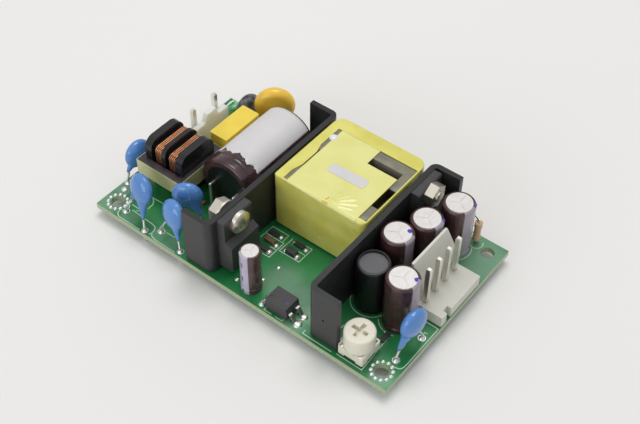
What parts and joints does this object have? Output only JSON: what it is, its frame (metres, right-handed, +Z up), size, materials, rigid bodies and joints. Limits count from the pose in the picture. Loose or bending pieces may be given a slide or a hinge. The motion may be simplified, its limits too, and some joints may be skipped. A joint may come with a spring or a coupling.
{
  "type": "open frame power supply",
  "caption": "Open frame switch-mode power supply on one circuit board, with folded heatsinks, taped transformer, mains choke, capacitors, pin headers and a turning trimmer.",
  "frame": {"origin": "centre of the mounting hole pattern, on the underside of the circuit board", "axes": "+X along the board's long edge from the mains inlet to the output header, +Y from the heatsinks' screw end at the near edge to the far edge, +Z up out of the component side"},
  "size_m": [0.0888, 0.0523, 0.0214],
  "materials": {
    "solder_mask_board": "gloss green solder mask over glass laminate",
    "tin_solder": "bright tin solder",
    "tinned_wire": "tinned copper wire",
    "nylon": "translucent off-white nylon",
    "pin_metal": "tin plated",
    "fuse_green": "glossy green coating",
    "thermistor_coat": "dark mottled coating",
    "varistor_coat": "ochre epoxy coating",
    "film_case": "yellow moulded case",
    "ferrite": "ground dark grey ferrite",
    "bobbin_plastic": "black phenolic",
    "enamelled_copper": "clear enamel over copper",
    "pale_tape": "pale yellow polyester tape",
    "blue_epoxy": "glossy blue epoxy coating",
    "bulk_sleeve": "dark brown shrink sleeve",
    "paper_label": "white printed label, left bare",
    "bung_rubber": "black rubber",
    "heatsink_black": "satin black anodised sheet",
    "package_black": "black moulding compound",
    "screw_steel": "plated steel",
    "yellow_tape": "yellow polyester tape",
    "sheet_tape": "light yellow polyester tape",
    "white_glue": "white silicone adhesive",
    "can_sleeve": "dark printed shrink sleeve",
    "can_aluminium": "bare stamped top",
    "shrink_sleeve": "black shrink sleeve",
    "trimmer_plastic": "cream moulded plastic",
    "resistor_body": "tan lacquer",
    "chip_ceramic": "sintered ceramic"
  },
  "bodies": {
    "supply": {"circuit_board": "solder_mask_board", "tinned_pads": "tin_solder", "solder_joints": "tin_solder", "component_leads": "tinned_wire", "ac_inlet_header": "nylon", "ac_inlet_pins": "pin_metal", "output_header": "nylon", "output_pins": "pin_metal", "line_fuse": "fuse_green", "inrush_thermistor": "thermistor_coat", "surge_varistor": "varistor_coat", "film_capacitor": "film_case", "choke_core": "ferrite", "choke_bobbin": "bobbin_plastic", "choke_windings": "enamelled_copper", "choke_tape": "pale_tape", "choke_pins": "tinned_wire", "disc_capacitor_1": "blue_epoxy", "disc_capacitor_2": "blue_epoxy", "disc_capacitor_3": "blue_epoxy", "disc_capacitor_4": "blue_epoxy", "disc_capacitor_5": "blue_epoxy", "bulk_capacitor": "bulk_sleeve", "bulk_capacitor_label": "paper_label", "bulk_capacitor_bung": "bung_rubber", "bulk_capacitor_leads": "tinned_wire", "primary_heatsink": "heatsink_black", "primary_transistor": "package_black", "secondary_heatsink": "heatsink_black", "secondary_rectifier": "package_black", "semiconductor_legs": "tinned_wire", "clamp_screws": "screw_steel", "clamp_nuts": "screw_steel", "clamp_washer": "screw_steel", "transformer_core": "ferrite", "transformer_bobbin": "bobbin_plastic", "transformer_winding": "yellow_tape", "transformer_tape": "yellow_tape", "transformer_top_sheet": "sheet_tape", "transformer_label": "paper_label", "transformer_glue": "white_glue", "transformer_pins": "tinned_wire", "start_capacitor": "can_sleeve", "output_capacitor_1": "can_sleeve", "output_capacitor_2": "can_sleeve", "output_capacitor_3": "can_sleeve", "output_capacitor_4": "can_sleeve", "capacitor_tops": "can_aluminium", "inductor_core": "ferrite", "inductor_sleeve": "shrink_sleeve", "optocoupler": "package_black", "trimmer_base": "trimmer_plastic", "trimmer_terminals": "pin_metal", "bleed_resistor": "resistor_body", "chip_capacitors": "chip_ceramic", "chip_resistors": "package_black", "chip_diodes": "package_black", "underside_chips": "package_black"},
    "rotor": {"trimmer_rotor": "trimmer_plastic"}
  },
  "joints": [
    {"name": "trimmer_turn", "type": "hinge", "parent": "supply", "child": "rotor", "pos_m": [0.03351, -0.02055, 0.0048], "axis": [0, 0, 1], "range_deg": [-120, 120]}
  ]
}
